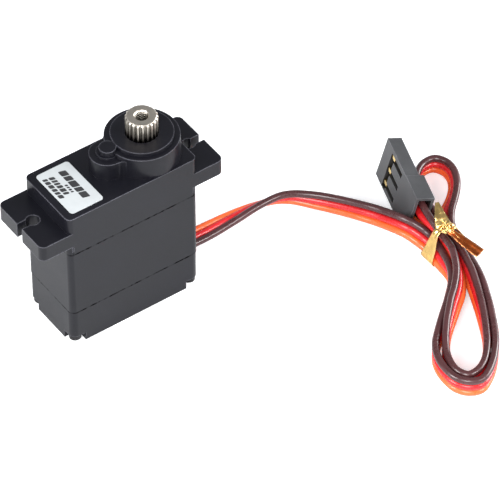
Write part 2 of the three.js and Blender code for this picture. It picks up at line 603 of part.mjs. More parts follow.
// One wire of the ribbon, offset from the middle wire across the ribbon's width.
class RibbonWire extends THREE.Curve {
  constructor(side) {
    super();
    this.side = side;
  }

  getPoint(t, target = new THREE.Vector3()) {
    const along = middleWire.getTangent(t);
    const right = new THREE.Vector3().crossVectors(along, UP).normalize();
    const above = new THREE.Vector3().crossVectors(right, along);
    const roll = THREE.MathUtils.degToRad(valueAlong(ROLLS, t));
    const across = above.multiplyScalar(Math.cos(roll)).addScaledVector(right, Math.sin(roll));
    return target.copy(middleWire.getPoint(t)).addScaledVector(across, this.side * valueAlong(PITCHES, t));
  }
}

function wire(side) {
  const section = new THREE.Shape().absarc(0, 0, WIRE_R, 0, 2 * Math.PI);
  return solid(new THREE.ExtrudeGeometry(section, {
    extrudePath: new RibbonWire(side), steps: ROUTE_STEPS, curveSegments: 3, bevelEnabled: false,
  }));
}

const RELIEF = {
  length: 2.35, half: 2.6, bottom: 1.5, top: 4.5, holeHalf: 2.0, holeBottom: 2.25, holeTop: 3.9,
};

function strainRelief() {
  const end = L / 2 - WALL - GAP;
  return box(end - RELIEF.length, end, -RELIEF.half, RELIEF.half, RELIEF.bottom, RELIEF.top)
    .subtract(box(0, L, -RELIEF.holeHalf, RELIEF.holeHalf, RELIEF.holeBottom, RELIEF.holeTop));
}

part('lead_brown', wire(1), BROWN_WIRE);
part('lead_red', wire(0), RED_WIRE);
part('lead_orange', wire(-1), ORANGE_WIRE);
part('strain_relief', strainRelief(), RUBBER);

// ---- plug ---------------------------------------------------------------------------------
// Built flat: X is its thickness, Y runs to the mating end, Z is its width. Then it is set down
// on one narrow edge, leaning a little, beside the bundled lead.
const PLUG = {
  length: 14.0, width: 7.6, rearThickness: 3.0, frontThickness: 2.3, step: 5.3, inset: 0.12, skin: 0.4,
};
const PLUG_PLACE = { x: 42.0, y: -16.5, z: 0.74, lean: 14.1, turn: -18.6 };
const RECESS = { half: 1.05, depth: 5.5 };
const CROSS_SLOT = { start: 10.0, end: 11.3, depth: 0.95, low: 0.3 };
const SOCKET = { bottom: 0.75, top: 1.75, start: 3, half: 0.5 };
const LATCH = { depth: 0.95, start: 6.4, end: 11, half: 0.45 };
const SLEEVE = { bottom: 1.0, top: 1.7, start: 7.0, end: 13.4, half: 0.35, wall: 0.18, boreStart: 8.0 };
const TANG = { start: 10.0, end: 11.2, rise: 0.85, half: 0.28 };

function plugWay(way) {
  return PLUG.width / 2 + way * PLUG_PITCH;
}

function plugHousing() {
  const { length, width, rearThickness, frontThickness, step, inset, skin } = PLUG;
  const body = box(0, frontThickness, 0, length, inset, width - inset)
    .add(box(0, rearThickness, 0, step, 0, width));
  const middle = rearThickness / 2;
  const cuts = [
    box(middle - RECESS.half, middle + RECESS.half, -PAST, RECESS.depth, skin, width - skin),
    box(-PAST, CROSS_SLOT.depth, CROSS_SLOT.start, CROSS_SLOT.end,
      CROSS_SLOT.low, plugWay(1) + LATCH.half),
  ];
  for (const way of WAYS) {
    const z = plugWay(way);
    cuts.push(box(SOCKET.bottom, SOCKET.top, SOCKET.start, length + PAST,
      z - SOCKET.half, z + SOCKET.half));
    cuts.push(box(-PAST, LATCH.depth, LATCH.start, LATCH.end, z - LATCH.half, z + LATCH.half));
  }
  return body.subtract(addAll(cuts));
}

function plugContact(way) {
  const { bottom, top, start, end, half, wall, boreStart } = SLEEVE;
  const z = plugWay(way);
  const bore = box(bottom + wall, top - wall, boreStart, end + PAST, z - half + wall, z + half - wall);
  const tang = box(bottom - TANG.rise, bottom + wall, TANG.start, TANG.end, z - TANG.half, z + TANG.half);
  return box(bottom, top, start, end, z - half, z + half).add(tang).subtract(bore);
}

const plug = new THREE.Group();
plug.position.set(PLUG_PLACE.x, PLUG_PLACE.y, PLUG_PLACE.z);
plug.rotation.order = 'ZXY';
plug.rotation.y = THREE.MathUtils.degToRad(PLUG_PLACE.lean);
plug.rotation.z = THREE.MathUtils.degToRad(PLUG_PLACE.turn);
servo.add(plug);
part('plug_housing', plugHousing(), PLUG_PLASTIC, plug);
WAYS.forEach((way, i) => part(`plug_contact_${i + 1}`, plugContact(way), GOLD, plug));

// ---- twist tie ----------------------------------------------------------------------------
// A foil strip bent round all the strands and twisted shut on top, with its ends splayed out.
// Each corner is the middle, in X and Z, of one of the outermost strands.
const TIE = {
  y: -22.6, half: 1.2, foil: 0.25, outer: 1.125,
  corners: [[42.7, 1.125], [47.85, 1.125], [45.95, 4.5], [44.2, 5.1]],
};
const KNOT = { x: 44.7, y: -23.4, halfLength: 1.2, halfWidth: 1.0, bottom: 5.8, top: 7.0 };
const TAIL = { half: 0.9, thickness: 0.25 };
const TAILS = [
  { turn: 78, tilt: -12, length: 5.0 },
  { turn: -78, tilt: 10, length: 6.8 },
];

function tieTail({ turn, tilt, length }) {
  return box(0, length, -TAIL.half, TAIL.half, -TAIL.thickness / 2, TAIL.thickness / 2)
    .rotate([0, tilt, 0])
    .rotate([0, 0, turn])
    .translate([KNOT.x, KNOT.y, (KNOT.bottom + KNOT.top) / 2]);
}

// A block with the outline of a cord drawn tight round rods of this radius at the tie's corners.
function tieBlock(radius, half) {
  const cord = rod(radius, -half, half).rotate([90, 0, 0]);
  return wasm.Manifold.hull(TIE.corners.map(([x, z]) => cord.translate([x, TIE.y, z])));
}

function twistTie() {
  const { x, y, halfLength, halfWidth, bottom, top } = KNOT;
  const band = tieBlock(TIE.outer, TIE.half).subtract(tieBlock(TIE.outer - TIE.foil, TIE.half + PAST));
  const knot = at(x, y, box(-halfLength, halfLength, -halfWidth, halfWidth, bottom, top));
  return addAll([band, knot, ...TAILS.map(tieTail)]);
}

part('twist_tie', twistTie(), GOLD_FOIL);

export default servo;
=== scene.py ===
import json
import math
import random

import bmesh
import bpy
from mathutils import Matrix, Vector, noise


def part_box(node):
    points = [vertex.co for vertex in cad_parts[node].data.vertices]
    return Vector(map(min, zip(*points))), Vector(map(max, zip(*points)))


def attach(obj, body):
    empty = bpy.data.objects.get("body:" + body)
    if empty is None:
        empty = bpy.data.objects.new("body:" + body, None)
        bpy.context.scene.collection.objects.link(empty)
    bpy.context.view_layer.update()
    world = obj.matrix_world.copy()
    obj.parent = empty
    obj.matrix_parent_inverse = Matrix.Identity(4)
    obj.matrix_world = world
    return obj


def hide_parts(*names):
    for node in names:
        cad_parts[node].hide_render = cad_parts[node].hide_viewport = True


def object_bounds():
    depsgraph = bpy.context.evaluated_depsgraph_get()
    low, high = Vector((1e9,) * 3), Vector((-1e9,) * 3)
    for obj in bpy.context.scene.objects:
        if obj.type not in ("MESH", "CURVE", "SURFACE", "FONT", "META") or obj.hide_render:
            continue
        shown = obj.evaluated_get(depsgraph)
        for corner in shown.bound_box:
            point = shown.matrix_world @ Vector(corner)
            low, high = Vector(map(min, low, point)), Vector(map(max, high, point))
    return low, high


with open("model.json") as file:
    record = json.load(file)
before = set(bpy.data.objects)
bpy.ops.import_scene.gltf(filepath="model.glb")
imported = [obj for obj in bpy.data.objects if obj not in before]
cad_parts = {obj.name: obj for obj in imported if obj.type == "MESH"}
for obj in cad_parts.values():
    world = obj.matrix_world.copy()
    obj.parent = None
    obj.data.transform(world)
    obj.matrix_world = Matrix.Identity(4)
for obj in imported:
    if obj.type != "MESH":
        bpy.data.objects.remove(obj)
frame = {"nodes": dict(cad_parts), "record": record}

MM = 0.001
CAD_BOX = [list(corner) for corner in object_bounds()]
FLOOR = CAD_BOX[0][2]
random.seed(7)


# ---- node trees ---------------------------------------------------------------------------
EDGE_FLAT, EDGE_SHARP = 0.995, 0.80     # cosines between the true and the rounded surface direction


class Tree:
    """A material's node tree, built one linked node at a time."""

    def __init__(self, name):
        self.material = bpy.data.materials.new(name)
        self.material.use_nodes = True
        self.nodes = self.material.node_tree.nodes
        self.links = self.material.node_tree.links
        self.shader = self.nodes["Principled BSDF"]

    def add(self, kind, inputs=None, **settings):
        node = self.nodes.new(kind)
        for key, value in settings.items():
            setattr(node, key, value)
        for key, value in (inputs or {}).items():
            self.put(node.inputs[key], value)
        return node

    def put(self, socket, value):
        if isinstance(value, bpy.types.NodeSocket):
            self.links.new(value, socket)
        else:
            socket.default_value = value

    def place(self, stretch=(1, 1, 1)):
        """Coordinates in millimetres, in the object's frame."""
        coord = self.add("ShaderNodeTexCoord")
        scale = tuple(s / MM for s in stretch)
        return self.add("ShaderNodeMapping", {"Vector": coord.outputs["Object"], "Scale": scale}).outputs[0]

    def noise(self, where, scale, detail=3.0, rough=0.55):
        inputs = {"Vector": where, "Scale": scale, "Detail": detail, "Roughness": rough}
        return self.add("ShaderNodeTexNoise", inputs).outputs["Fac"]

    def remap(self, value, low, high, to_low, to_high):
        inputs = {"Value": value, "From Min": low, "From Max": high, "To Min": to_low, "To Max": to_high}
        return self.add("ShaderNodeMapRange", inputs).outputs["Result"]

    def math(self, operation, a, b=0.0):
        return self.add("ShaderNodeMath", {0: a, 1: b}, operation=operation).outputs[0]

    def mix(self, factor, a, b):
        node = self.add("ShaderNodeMix", data_type="RGBA")
        for index, value in ((0, factor), (6, a), (7, b)):
            self.put(node.inputs[index], value)
        return node.outputs[2]

    def edges(self, radius):
        """About 1 within this distance of a sharp edge, and 0 on a flat face."""
        soft = self.add("ShaderNodeBevel", {"Radius": radius}, samples=4)
        true = self.add("ShaderNodeNewGeometry")
        dot = self.add("ShaderNodeVectorMath", {0: soft.outputs[0], 1: true.outputs["Normal"]},
                       operation="DOT_PRODUCT")
        return self.remap(dot.outputs["Value"], EDGE_FLAT, EDGE_SHARP, 0.0, 1.0)

    def openness(self, reach):
        """1 on an open face, falling in corners that other faces close within this distance."""
        return self.add("ShaderNodeAmbientOcclusion", {"Distance": reach}, samples=6).outputs["AO"]


def rgba(color, gain=1.0):
    return tuple(min(1.0, c * gain) for c in color) + (1.0,)


BLACK = (0.0, 0.0, 0.0)
DUST = (0.55, 0.54, 0.52)
# Painted shade: the dark colour mixed into corners and crevices
CORNER_SHADE_COLOR = (0.008, 0.007, 0.006)
CREVICE = 1.0                 # mm within which a neighbouring face shades a corner
WORN_AND_LIT_WIDTH = 0.25             # mm from an edge that is lightened, partly as wear and partly as a painted highlight
SEAM_SOFT = 0.16              # mm from a case seam over which its shadow line fades


def seam_line(tree, where, seam):
    """How clear a point is of a case seam, and how dark the seam's ragged shadow line is there."""
    height = tree.add("ShaderNodeSeparateXYZ", {"Vector": where}).outputs["Z"]
    off = tree.math("ABSOLUTE", tree.math("SUBTRACT", height, seam / MM))
    clear = tree.remap(off, 3 * SEAM_SOFT, 4 * SEAM_SOFT, 0.0, 1.0)
    ragged = tree.remap(tree.noise(where, 0.9, 3.0), 0.40, 0.60, 0.15, 1.0)
    line = tree.math("MULTIPLY", tree.remap(off, SEAM_SOFT, 0.6 * SEAM_SOFT, 0.0, 1.0), ragged)
    return clear, line


def finish(name, color, rough, metal=0.0, tone=0.12, patch=0.25, spread=0.08, grain=6.0, bump=0.1,
           depth=0.02, stretch=(1, 1, 1), edge_wear_and_highlight=0.0, worn_and_highlight_color=None, coat=0.0, coat_rough=0.12,
           specular=0.5, dust=0.0, corner_shade=0.0, seams=()):
    """A procedural material: patchy colour, uneven roughness, surface grain, pale edges that are partly
    wear and partly a painted highlight, and painted shade in corners.

    tone and spread are how far the patches vary in colour and in roughness. patch and grain are noise
    scales per millimetre, and stretch draws the grain out along an axis. bump is the grain's strength
    and depth its height in millimetres. The edge amount lightens edges to the worn colour, partly as wear
    and partly as a painted highlight; dust gives pale specks; the corner amount paints shade into corners.
    seams are heights of dark lines, for the case.
    """
    tree = Tree(name)
    where = tree.place()
    patches = tree.noise(where, patch, 4.0)
    fine = tree.noise(tree.place(stretch), grain, 5.0, 0.6)
    patched = tree.remap(patches, 0.3, 0.7, 0.0, 1.0)
    base = tree.mix(patched, rgba(color, 1 - tone), rgba(color, 1 + tone))
    if dust:
        specks = tree.remap(tree.noise(where, 9.0, 2.0), 0.70, 0.78, 0.0, dust)
        base = tree.mix(specks, base, rgba(DUST))
    if worn_and_highlight_color or corner_shade:
        open_sky = tree.openness(CREVICE * MM)
    # Where edges are lightened, partly as wear and partly as a painted highlight: open places only, not
    # corners that other faces close
    if worn_and_highlight_color:
        rubbed_and_lit = tree.math("MULTIPLY", tree.remap(open_sky, 0.70, 0.95, 0.0, edge_wear_and_highlight),
                           tree.remap(patches, 0.25, 0.75, 0.3, 1.0))
    for seam in seams:
        clear, line = seam_line(tree, where, seam)
        rubbed_and_lit = tree.math("MULTIPLY", rubbed_and_lit, clear)
        base = tree.mix(line, base, rgba(BLACK))
        specular = tree.math("MULTIPLY", specular, tree.math("SUBTRACT", 1.0, line))
    if worn_and_highlight_color:
        # Painted highlight and wear: edges are lightened towards the worn colour
        worn_lit_edge = tree.math("MULTIPLY", tree.edges(WORN_AND_LIT_WIDTH * MM), rubbed_and_lit)
        base = tree.mix(worn_lit_edge, base, rgba(worn_and_highlight_color))
    if corner_shade:
        # Painted shade: corners that other faces close within CREVICE are darkened
        corners = tree.remap(open_sky, 0.55, 0.95, corner_shade, 0.0)
        base = tree.mix(corners, base, rgba(CORNER_SHADE_COLOR))
    uneven = tree.math("ADD", tree.remap(patches, 0.25, 0.75, -spread, spread),
                       tree.remap(fine, 0.3, 0.7, rough - spread / 2, rough + spread / 2))
    relief = tree.add("ShaderNodeBump", {"Strength": bump, "Distance": depth * MM, "Height": fine})
    for socket, value in (("Base Color", base), ("Roughness", uneven), ("Metallic", metal),
                          ("Specular IOR Level", specular), ("Coat Weight", coat),
                          ("Coat Roughness", coat_rough), ("Normal", relief.outputs["Normal"])):
        tree.put(tree.shader.inputs[socket], value)
    return tree.material


# ---- finishes -----------------------------------------------------------------------------
CASE_SEAMS = [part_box("middle_case")[0].z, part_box("upper_case")[0].z]


def sleeve(name, color, tone):
    """Glossy wire insulation."""
    return finish(name, color, 0.28, tone=tone, patch=0.35, spread=0.07, grain=3.5, bump=0.05,
                  depth=0.012, coat=0.25, coat_rough=0.24)


FINISH = {                    # by the material slot that the record gives each node
    # The edge amounts and colours below lighten edges, partly as wear and partly as a painted highlight;
    # the corner amounts paint shade into corners
    "black_plastic": finish("case_plastic", (0.006, 0.006, 0.009), 0.33, tone=0.2, patch=0.15,
                            spread=0.05, grain=7.0, bump=0.3, depth=0.010, edge_wear_and_highlight=0.8,
                            worn_and_highlight_color=(0.24, 0.24, 0.28), specular=0.26, dust=0.08, seams=CASE_SEAMS),
    "plug_plastic": finish("plug_plastic", (0.050, 0.051, 0.054), 0.42, tone=0.15, patch=0.3, spread=0.05,
                           grain=8.0, bump=0.3, depth=0.010, edge_wear_and_highlight=0.6, worn_and_highlight_color=(0.25, 0.25, 0.27), dust=0.08,
                           corner_shade=1.0),
    "cream_plastic": finish("cream_plastic", (0.62, 0.55, 0.42), 0.5, grain=6.0, bump=0.2),
    "steel": finish("nickel_steel", (0.58, 0.53, 0.455), 0.36, 1.0, tone=0.10, patch=0.9, spread=0.05,
                    grain=3.0, bump=0.25, depth=0.012, stretch=(1, 1, 6), edge_wear_and_highlight=0.6, worn_and_highlight_color=(0.85, 0.83, 0.78),
                    corner_shade=1.0),
    "dark_steel": finish("dark_steel", (0.045, 0.044, 0.046), 0.42, 1.0, tone=0.2, patch=1.2, grain=5.0,
                         bump=0.25, edge_wear_and_highlight=0.5, worn_and_highlight_color=(0.20, 0.20, 0.20), corner_shade=0.8),
    "brass": finish("machined_brass", (0.62, 0.44, 0.16), 0.28, 1.0, tone=0.14, patch=0.8, grain=4.0,
                    bump=0.2, stretch=(1, 1, 5), edge_wear_and_highlight=0.5, worn_and_highlight_color=(0.80, 0.64, 0.32)),
    "copper": finish("copper", (0.55, 0.24, 0.12), 0.32, 1.0, tone=0.2, patch=1.0, grain=7.0, bump=0.4,
                     stretch=(1, 1, 6)),
    "gold": finish("gold_flash", (0.85, 0.62, 0.24), 0.22, 1.0, tone=0.12, patch=1.4, grain=5.0, bump=0.15,
                   edge_wear_and_highlight=0.4, worn_and_highlight_color=(0.95, 0.82, 0.5)),
    "ferrite": finish("sintered_ferrite", (0.045, 0.042, 0.04), 0.75, tone=0.25, patch=1.5, grain=9.0,
                      bump=0.6, depth=0.03),
    "silver_label": finish("silver_film", (0.56, 0.59, 0.60), 0.36, 0.15, tone=0.05, patch=0.4, spread=0.06,
                           grain=4.0, bump=0.12, depth=0.008, coat=0.3),
    "board_green": finish("solder_mask", (0.015, 0.10, 0.035), 0.35, tone=0.25, patch=0.8, grain=5.0,
                          bump=0.2, coat=0.3),
    "carbon": finish("carbon_film", (0.012, 0.012, 0.012), 0.6, tone=0.3, patch=1.2, grain=9.0, bump=0.3),
    "chip": finish("epoxy_chip", (0.018, 0.018, 0.02), 0.5, tone=0.2, patch=1.0, grain=9.0, bump=0.3),
    "ceramic": finish("fired_ceramic", (0.42, 0.28, 0.13), 0.5, tone=0.15, patch=1.5, grain=8.0, bump=0.2),
    "rubber": finish("rubber", (0.015, 0.015, 0.015), 0.7, tone=0.2, patch=0.8, grain=7.0, bump=0.4),
    "brown_wire": sleeve("brown_sleeve", (0.062, 0.019, 0.020), 0.14),
    "red_wire": sleeve("red_sleeve", (0.62, 0.014, 0.018), 0.10),
    "orange_wire": sleeve("orange_sleeve", (0.90, 0.135, 0.03), 0.10),
    "gold_foil": finish("gold_foil", (0.80, 0.54, 0.19), 0.24, 1.0, tone=0.22, patch=0.9, spread=0.10,
                        grain=1.3, bump=0.4, depth=0.05, edge_wear_and_highlight=0.4, worn_and_highlight_color=(0.95, 0.85, 0.6)),
}
COPPER_FOIL = finish("copper_foil", (0.60, 0.13, 0.03), 0.30, 1.0, tone=0.3, patch=0.5, spread=0.10,
                     grain=1.3, bump=0.4, depth=0.05, edge_wear_and_highlight=0.9, worn_and_highlight_color=(0.95, 0.72, 0.35))
INK = finish("label_ink", (0.03, 0.03, 0.032), 0.5, tone=0.2, patch=1.5, grain=8.0, bump=0.2)


# ---- CAD nodes: soft edges and finishes ---------------------------------------------------
def smoothing(degrees):
    """A modifier tree that shades smooth except across edges sharper than this."""
    group = bpy.data.node_groups.new("shade_by_angle", "GeometryNodeTree")
    for side in ("INPUT", "OUTPUT"):
        group.interface.new_socket("Geometry", in_out=side, socket_type="NodeSocketGeometry")
    nodes, links = group.nodes, group.links
    start = nodes.new("NodeGroupInput")
    plain = nodes.new("GeometryNodeRemoveAttribute")
    plain.inputs["Name"].default_value = "custom_normal"
    faces = nodes.new("GeometryNodeSetShadeSmooth")
    faces.domain = "FACE"
    edges = nodes.new("GeometryNodeSetShadeSmooth")
    edges.domain = "EDGE"
    edges.inputs["Shade Smooth"].default_value = False
    angle = nodes.new("GeometryNodeInputMeshEdgeAngle")
    sharp = nodes.new("FunctionNodeCompare")
    sharp.operation = "GREATER_THAN"
    sharp.inputs["B"].default_value = math.radians(degrees)
    end = nodes.new("NodeGroupOutput")
    links.new(start.outputs[0], plain.inputs["Geometry"])
    links.new(plain.outputs["Geometry"], faces.inputs["Geometry"])
    links.new(faces.outputs["Geometry"], edges.inputs["Geometry"])
    links.new(angle.outputs["Unsigned Angle"], sharp.inputs["A"])
    links.new(sharp.outputs["Result"], edges.inputs["Selection"])
    links.new(edges.outputs["Geometry"], end.inputs[0])
    return group


SOFT_ANGLE = 33               # degrees between facets that still count as one round surface
FLAT_ANGLE = 0.5              # degrees between facets of one flat face
WELD_GAP = 0.0005             # mm between points that are the same
SMOOTHING = smoothing(SOFT_ANGLE)
EDGE_WIDTH = {                # mm that the sharp edges are rounded by, on the nodes that can be seen
    "bottom_case": 0.14, "upper_case": 0.24, "label": 0.03,
    "output_shaft": 0.035, "plug_contact_1": 0.03, "plug_contact_2": 0.03, "plug_contact_3": 0.03,
}
EDGE_WIDTH.update({f"case_screw_{i}": 0.06 for i in range(1, 5)})


def dress(obj, width):
    """Rounds a node's sharp edges by this many millimetres, and shades its round faces smooth."""
    weld = obj.modifiers.new("weld", "WELD")
    weld.merge_threshold = WELD_GAP * MM
    if width:
        flat = obj.modifiers.new("flat_faces", "DECIMATE")
        flat.decimate_type = "DISSOLVE"
        flat.angle_limit = math.radians(FLAT_ANGLE)
        bevel = obj.modifiers.new("soft_edges", "BEVEL")
        bevel.width = width * MM
        bevel.segments = 3
        bevel.limit_method = "ANGLE"
        bevel.angle_limit = math.radians(SOFT_ANGLE)
        bevel.use_clamp_overlap = True
        bevel.miter_outer = "MITER_ARC"
    shade = obj.modifiers.new("shading", "NODES")
    shade.node_group = SMOOTHING
    level = obj.modifiers.new("level_faces", "WEIGHTED_NORMAL")
    level.weight = 90
    level.keep_sharp = True


SLOT_OF = {row["node"]: row["material_slot"] for row in frame["record"]["subparts"]}
for node, obj in frame["nodes"].items():
    obj.data.materials.clear()
    obj.data.materials.append(FINISH[SLOT_OF[node]])
    dress(obj, EDGE_WIDTH.get(node, 0))


# ---- pieces -------------------------------------------------------------------------------
def piece(name, verts, faces, material, body, slot, smooth=True):
    """A visual piece that rides on a body."""
    mesh = bpy.data.meshes.new(name)
    mesh.from_pydata([tuple(v) for v in verts], [], faces)
    mesh.validate()
    build = bmesh.new()
    build.from_mesh(mesh)
    bmesh.ops.recalc_face_normals(build, faces=build.faces)
    build.to_mesh(mesh)
    build.free()
    for polygon in mesh.polygons:
        polygon.use_smooth = smooth
    mesh.materials.append(material)
    obj = bpy.data.objects.new(name, mesh)
    bpy.context.scene.collection.objects.link(obj)
    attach(obj, body)
    return obj


def tube(points, radius, sides):
    """Verts and faces of a round tube along a path. radius gives the tube's radius at each point."""
    verts, faces = [], []
    across = None
    for i, point in enumerate(points):
        ahead = points[min(i + 1, len(points) - 1)] - points[max(i - 1, 0)]
        ahead.normalize()
        if across is None:
            across = ahead.orthogonal().normalized()
        across = (across - ahead * across.dot(ahead)).normalized()
        other = ahead.cross(across)
        for k in range(sides):
            turn = 2 * math.pi * k / sides
            verts.append(point + radius(i) * (math.cos(turn) * across + math.sin(turn) * other))
    for i in range(len(points) - 1):
        for k in range(sides):
            a, b = i * sides + k, i * sides + (k + 1) % sides
            faces.append((a, b, b + sides, a + sides))
    faces.append(tuple(range(sides)))
    faces.append(tuple(range(len(verts) - sides, len(verts))))
    return verts, faces


def merged(parts):
    """One list of verts and one of faces from several."""
    verts, faces = [], []
    for part_verts, part_faces in parts:
        base = len(verts)
        verts += part_verts
        faces += [tuple(base + i for i in face) for face in part_faces]
    return verts, faces


def smoothed(points, steps):
    """A Catmull-Rom path through the points."""
    path = []
    for i in range(len(points) - 1):
        p0, p1 = points[max(i - 1, 0)], points[i]
        p2, p3 = points[i + 1], points[min(i + 2, len(points) - 1)]
        for s in range(steps):
            t = s / steps
            path.append(0.5 * (2 * p1 + (p2 - p0) * t + (2 * p0 - 5 * p1 + 4 * p2 - p3) * t * t
                               + (3 * p1 - p0 - 3 * p2 + p3) * t ** 3))
    path.append(points[-1].copy())
    return path


# ---- lead ---------------------------------------------------------------------------------
CAD_WIRE_SIDES = 6
WIRE_SIDES = 16
WIRE_STEPS = 3                # rings drawn for each ring of the CAD wire
WIRE_R = 0.575                # mm
WOBBLE, WOBBLE_LENGTH = 0.015, 4.0      # share of the radius, and mm between its ripples


def centre_line(node):
    """The middle of each ring of a CAD wire, from the servo to the plug."""
    build = bmesh.new()
    build.from_mesh(frame["nodes"][node].data)
    bmesh.ops.remove_doubles(build, verts=build.verts, dist=2 * WELD_GAP * MM)
    ring = sorted(build.verts, key=lambda v: v.co.x)[:CAD_WIRE_SIDES]
    seen, centres = set(), []
    while ring:
        seen.update(ring)
        centres.append(sum((v.co for v in ring), Vector()) / len(ring))
        ring = list({e.other_vert(v) for v in ring for e in v.link_edges} - seen)
    build.free()
    return centres


def wire(color):
    """A round, slightly uneven wire along the path of the CAD wire, which it replaces."""
    path = smoothed(centre_line(f"lead_{color}"), WIRE_STEPS)
    radii = [WIRE_R * MM * (1 + WOBBLE * noise.noise(p / (WOBBLE_LENGTH * MM))) for p in path]
    verts, faces = tube(path, lambda i: radii[i], WIRE_SIDES)
    slot = f"{color}_wire"
    obj = piece(f"wire_{color}", verts, faces, FINISH[slot], "case", slot)
    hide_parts(f"lead_{color}")


for color in ("brown", "red", "orange"):
    wire(color)


# ---- output shaft's thread ----------------------------------------------------------------
THREAD = {"pitch": 0.4, "radius": 0.93, "ridge": 0.12, "top": 0.35}     # mm
THREAD_TURNS = 10
THREAD_STEPS = 24             # points in each turn
THREAD_SIDES = 6


def thread():
    """A helical ridge inside the shaft's screw hole, from just below the shaft's top."""
    low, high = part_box("output_shaft")
    middle = (low + high) / 2
    points = []
    for i in range(THREAD_TURNS * THREAD_STEPS + 1):
        turns = i / THREAD_STEPS
        out = Vector((math.cos(2 * math.pi * turns), math.sin(2 * math.pi * turns), 0))
        down = Vector((0, 0, THREAD["top"] + THREAD["pitch"] * turns))
        points.append(Vector((middle.x, middle.y, high.z)) + (out * THREAD["radius"] - down) * MM)
    verts, faces = tube(points, lambda i: THREAD["ridge"] * MM, THREAD_SIDES)
    piece("shaft_thread", verts, faces, FINISH["steel"], "output", "steel")


thread()


# ---- label print --------------------------------------------------------------------------
PRINT_ROWS = (
    # shares of the label: place across, start and end along; mm: height, shortest and longest bar
    (0.66, 0.14, 0.90, 1.15, 0.9, 1.7),
    (0.47, 0.42, 0.62, 0.45, 0.3, 0.5),
    (0.31, 0.16, 0.66, 0.85, 0.45, 0.8),
    (0.13, 0.14, 0.66, 0.75, 0.4, 0.8),
)
PRINT_SLANT = 0.28
PRINT_GAP = 0.17              # mm between bars
PRINT_CORNER = 0.16           # mm, the largest corner radius
CORNER_STEPS = 3
INK_LOW, INK_HIGH = -0.01, 0.012        # mm from the label's face


def bar(x, start, end, height, top):
    """Verts and faces of one printed bar, a slanted block with rounded corners."""
    r = min(PRINT_CORNER, height / 3) * MM
    reach = height * MM / 2 - r
    corners = ((reach, start - r), (-reach, start - r), (-reach, end + r), (reach, end + r))
    outline = []
    for quarter, (across, along) in enumerate(corners):
        for k in range(CORNER_STEPS + 1):
            turn = (quarter + k / CORNER_STEPS) * math.pi / 2
            up = across + r * math.cos(turn)
            outline.append((x + up, along + r * math.sin(turn) - PRINT_SLANT * up))
    n = len(outline)
    verts = [Vector((px, py, top + z * MM)) for z in (INK_LOW, INK_HIGH) for px, py in outline]
    faces = [tuple(range(n)), tuple(range(n, 2 * n))]
    faces += [(k, (k + 1) % n, n + (k + 1) % n, n + k) for k in range(n)]
    return verts, faces


def label_marks():
    """Plain slanted bars in place of lettering."""
    low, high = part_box("label")
    bars = []
    for place, start, end, height, shortest, longest in PRINT_ROWS:
        x = low.x + place * (high.x - low.x)
        cursor = high.y - start * (high.y - low.y)
        stop = high.y - end * (high.y - low.y)
        while cursor - shortest * MM > stop:
            far = max(cursor - random.uniform(shortest, longest) * MM, stop)
            bars.append(bar(x, cursor, far, height, high.z))
            cursor = far - PRINT_GAP * MM
    piece("label_marks", *merged(bars), INK, "case", "silver_label", smooth=False)


label_marks()


# ---- twist tie ----------------------------------------------------------------------------
def foil(rows, thickness):
    """Verts and faces of a closed thin sheet through rows of points."""
    count, width = len(rows), len(rows[0])
    top, bottom = [], []
    for i in range(count):
        for j in range(width):
            along = rows[min(i + 1, count - 1)][j] - rows[max(i - 1, 0)][j]
            across = rows[i][min(j + 1, width - 1)] - rows[i][max(j - 1, 0)]
            normal = along.cross(across)
            normal = normal.normalized() if normal.length > 1e-12 else Vector((0, 0, 1))
            top.append(rows[i][j] + normal * thickness / 2)
            bottom.append(rows[i][j] - normal * thickness / 2)
    verts = top + bottom
    back = len(top)
    faces = []
    for i in range(count - 1):
        for j in range(width - 1):
            a = i * width + j
            faces.append((a, a + 1, a + 1 + width, a + width))
            faces.append((back + a, back + a + width, back + a + 1 + width, back + a + 1))
    rim = list(range(width))
    rim += [i * width + width - 1 for i in range(1, count)]
    rim += [(count - 1) * width + j for j in range(width - 2, -1, -1)]
    rim += [i * width for i in range(count - 2, 0, -1)]
    for k, a in enumerate(rim):
        b = rim[(k + 1) % len(rim)]
        faces.append((b, a, back + a, back + b))
    return verts, faces


FOIL_THICK = 0.09             # mm
RIDGE, RIDGE_SHARE = 0.12, 0.10         # mm the core wire stands up, and its share of the width
CRUMPLES = ((7, 2.0, 3.1, 1.0), (21, 5.0, 1.7, 0.4))    # folds along and across, drift, and strength
BAND_R = 1.0                  # mm from an outer strand's middle to the foil
BAND_WIDTH = 2.9              # mm on the table
BAND_BACK = 4.2               # mm from the tie's far end back to the band's middle
BAND_TURNS, BAND_STEPS, BAND_COLUMNS = 48, 60, 8        # directions round it, and its mesh
BAND_GATHER, GATHER_POWER = 0.62, 1.5   # share of the width lost at the knot, and how late it goes
BAND_CREASE, FLAT_CREASE = 0.16, 0.3    # mm of crease, and its share on the table
CREASE_ALONG, CREASE_ACROSS, CREASE_DRIFT = 0.22, 3.0, 5.5
BAND_LIFT = 0.07              # mm that the foil keeps off the table
STRANDS = ((1.1, 1.1), (6.3, 1.1), (4.4, 4.5), (2.6, 5.1))    # the outer ones, from the tie's low corner
TOP_STRAND = 3
KNOT_OFFSET = Vector((0.5, -0.8, 1.35))                       # mm from the top strand's middle
